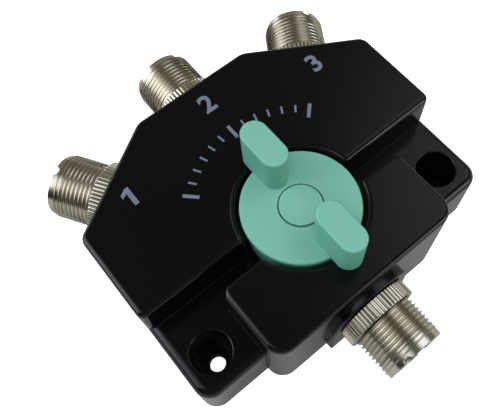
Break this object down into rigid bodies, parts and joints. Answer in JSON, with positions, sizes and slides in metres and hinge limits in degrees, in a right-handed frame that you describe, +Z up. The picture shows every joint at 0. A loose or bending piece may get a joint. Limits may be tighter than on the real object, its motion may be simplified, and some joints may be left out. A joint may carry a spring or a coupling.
{
  "type": "coaxial antenna switch",
  "caption": "Coaxial antenna selector with a flat black housing, screw ears, threaded outlet sockets, a common socket and a round knob with upright finger lobes.",
  "frame": {"origin": "on the knob's axis in the plane of the underside", "axes": "+Z up along the knob's axis, +Y from the common socket towards the middle outlet socket, +X towards the right-hand ear seen from the common side"},
  "size_m": [0.087, 0.0968, 0.0383],
  "materials": {
    "black_paint": "satin black",
    "mint_plastic": "satin mint green",
    "mint_cap": "satin mint green",
    "nickel": "bright nickel plate",
    "white_nylon": "smooth off-white",
    "plated_brass": "silver-plated",
    "brass": "turned",
    "steel": "ground",
    "zinc_steel": "zinc plated"
  },
  "bodies": {
    "body": {"housing": "black_paint", "bottom_cover": "black_paint", "cover_screws": "zinc_steel", "shaft_bush": "brass", "detent_plate": "steel", "plate_screws": "zinc_steel", "jack_1_shell": "nickel", "jack_1_ring": "nickel", "jack_1_insulator": "white_nylon", "jack_1_contact": "plated_brass", "jack_1_wiper": "plated_brass", "jack_2_shell": "nickel", "jack_2_ring": "nickel", "jack_2_insulator": "white_nylon", "jack_2_contact": "plated_brass", "jack_2_wiper": "plated_brass", "jack_3_shell": "nickel", "jack_3_ring": "nickel", "jack_3_insulator": "white_nylon", "jack_3_contact": "plated_brass", "jack_3_wiper": "plated_brass", "jack_common_shell": "nickel", "jack_common_ring": "nickel", "jack_common_insulator": "white_nylon", "jack_common_contact": "plated_brass", "jack_common_wiper": "plated_brass"},
    "knob": {"knob": "mint_plastic", "knob_cap": "mint_cap", "knob_screw": "zinc_steel", "shaft": "steel", "retaining_clip": "steel", "rotor_hub": "white_nylon", "rotor_contact": "plated_brass", "contact_rivets": "plated_brass", "hub_pin": "steel", "detent_ball": "steel", "detent_spring": "steel"}
  },
  "joints": [
    {"name": "knob_turn", "type": "hinge", "parent": "body", "child": "knob", "pos_m": [0, 0, 0.02], "axis": [0, 0, 1], "range_deg": [-45, 45]}
  ]
}
